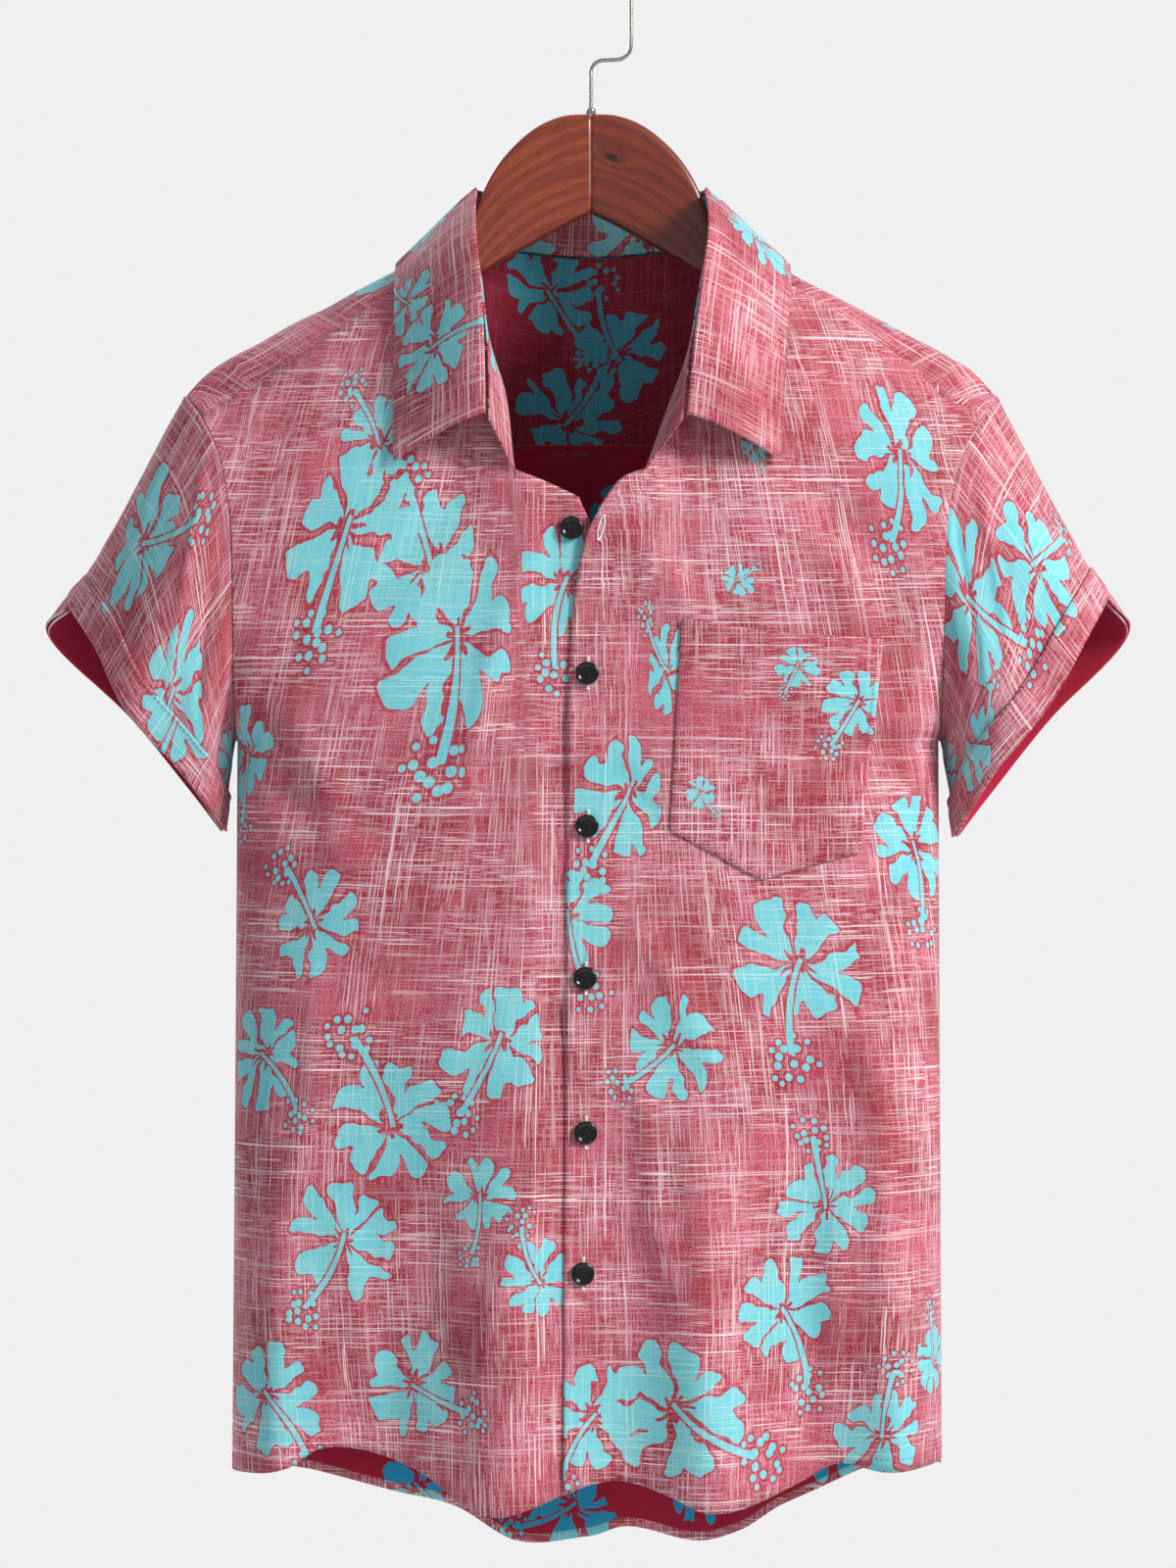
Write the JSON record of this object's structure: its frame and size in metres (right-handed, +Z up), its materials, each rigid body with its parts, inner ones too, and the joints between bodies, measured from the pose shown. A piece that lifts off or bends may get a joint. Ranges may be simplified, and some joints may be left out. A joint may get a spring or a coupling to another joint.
{
  "type": "short-sleeved hawaiian shirt on a wooden hanger",
  "caption": "Short-sleeved hawaiian shirt in crimson slub cloth with turquoise hibiscus print, buttoned and hung on a wooden hanger with a bent wire hook.",
  "frame": {"origin": "inner top of the hook's arc, where it bears on a rod", "axes": "+Z up along the hanging line, the buttoned front faces -Y, +X towards the wearer's left"},
  "size_m": [0.6079, 0.1671, 0.8999],
  "materials": {
    "printed_cloth": "matt slub weave, printed with turquoise flowers",
    "button": "gloss black",
    "hanger_wood": "reddish brown, satin lacquer",
    "hook_wire": "polished warm nickel"
  },
  "bodies": {
    "root": {"front_right": "printed_cloth", "front_left": "printed_cloth", "back": "printed_cloth", "yoke": "printed_cloth", "sleeve_right": "printed_cloth", "cuff_right": "printed_cloth", "sleeve_left": "printed_cloth", "cuff_left": "printed_cloth", "collar_stand": "printed_cloth", "collar_leaf": "printed_cloth", "pocket": "printed_cloth", "button_1": "button", "button_2": "button", "button_3": "button", "button_4": "button", "button_5": "button", "button_6": "button", "hanger_left": "hanger_wood", "hanger_right": "hanger_wood", "hook": "hook_wire", "ferrule": "hook_wire"}
  },
  "joints": []
}
